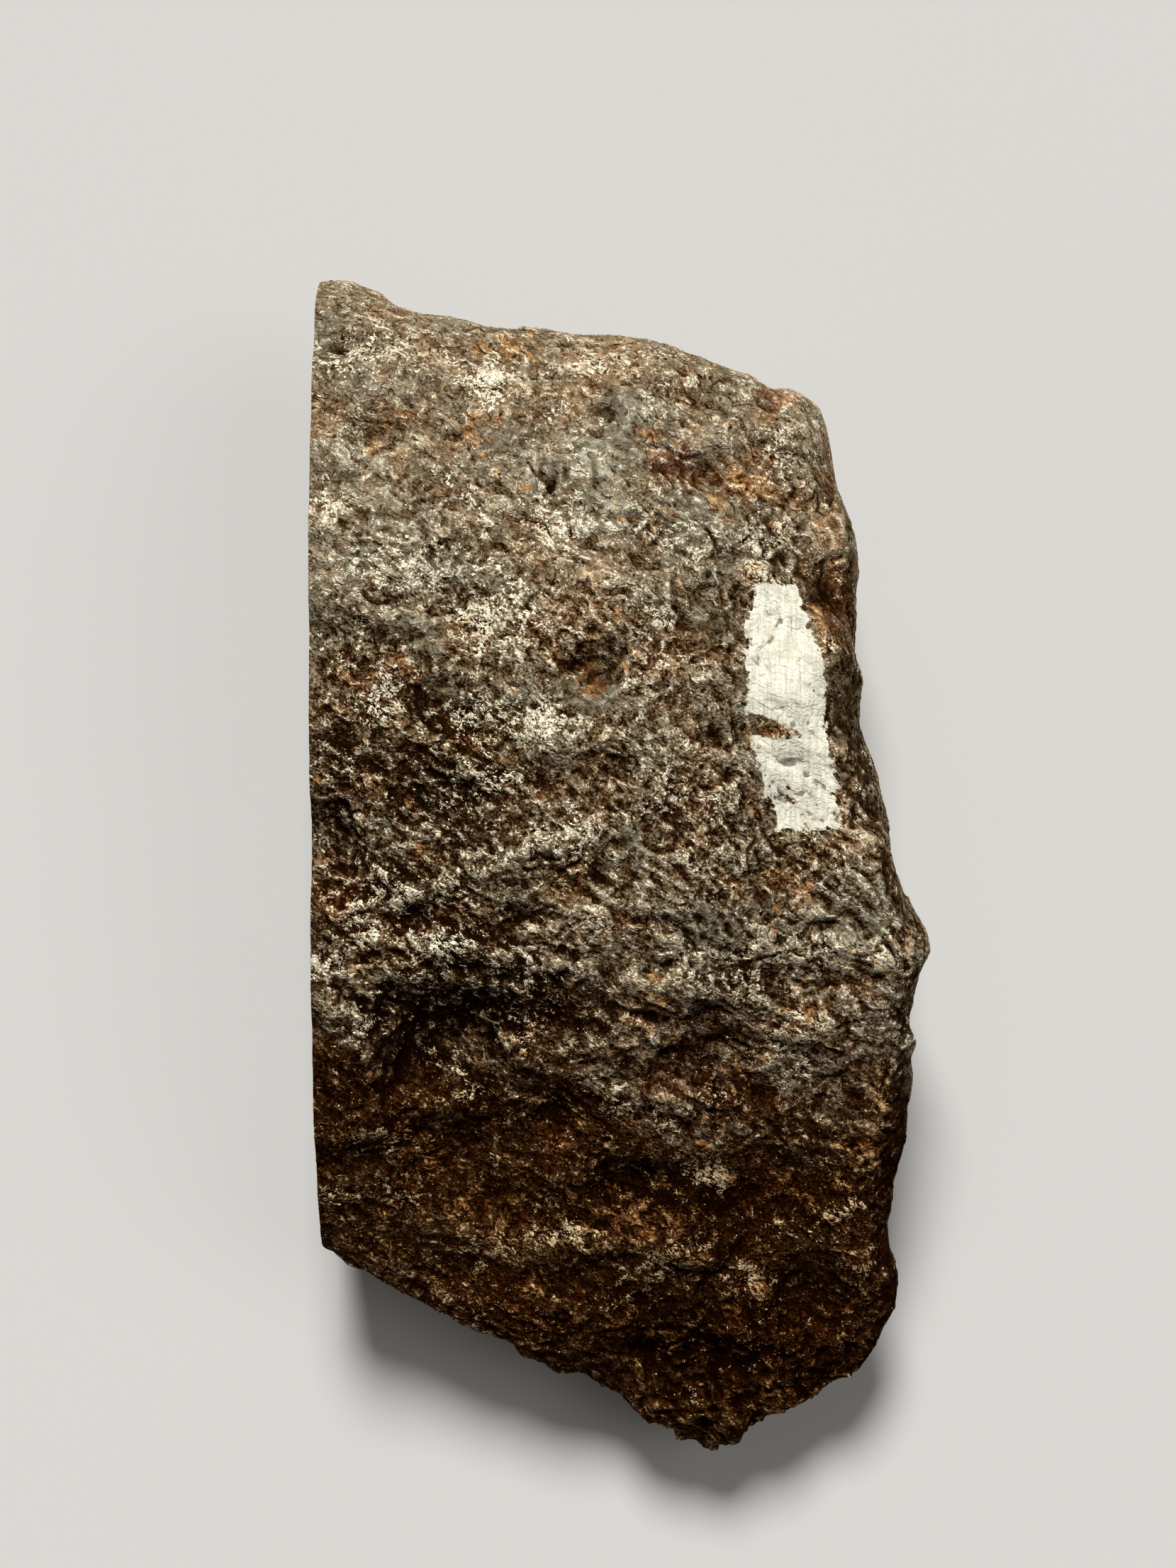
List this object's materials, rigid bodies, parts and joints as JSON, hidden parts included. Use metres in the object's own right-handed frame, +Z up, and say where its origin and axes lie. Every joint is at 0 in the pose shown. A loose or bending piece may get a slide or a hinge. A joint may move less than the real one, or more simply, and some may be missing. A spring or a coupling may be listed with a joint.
{
  "type": "iron meteorite",
  "caption": "Heavy hand-sized end piece of natural iron: hackly scooped front, rounded flanks, ragged tip, one long side sawn flat; rests on a small flat spot of its back.",
  "frame": {"origin": "middle of the underside of the bounding box, on the plane of the resting spot", "axes": "+Z up, out of the broad natural front; +Y along the long side towards the thick end; -X out of the sawn face"},
  "size_m": [0.054, 0.107, 0.031],
  "materials": {
    "meteorite_iron": "hackly natural iron with dark brown patina, orange rust patches, bright bare-metal flecks and one bare white paint patch; the sawn face is satin grey"
  },
  "bodies": {
    "root": {"meteorite": "meteorite_iron"}
  },
  "joints": []
}
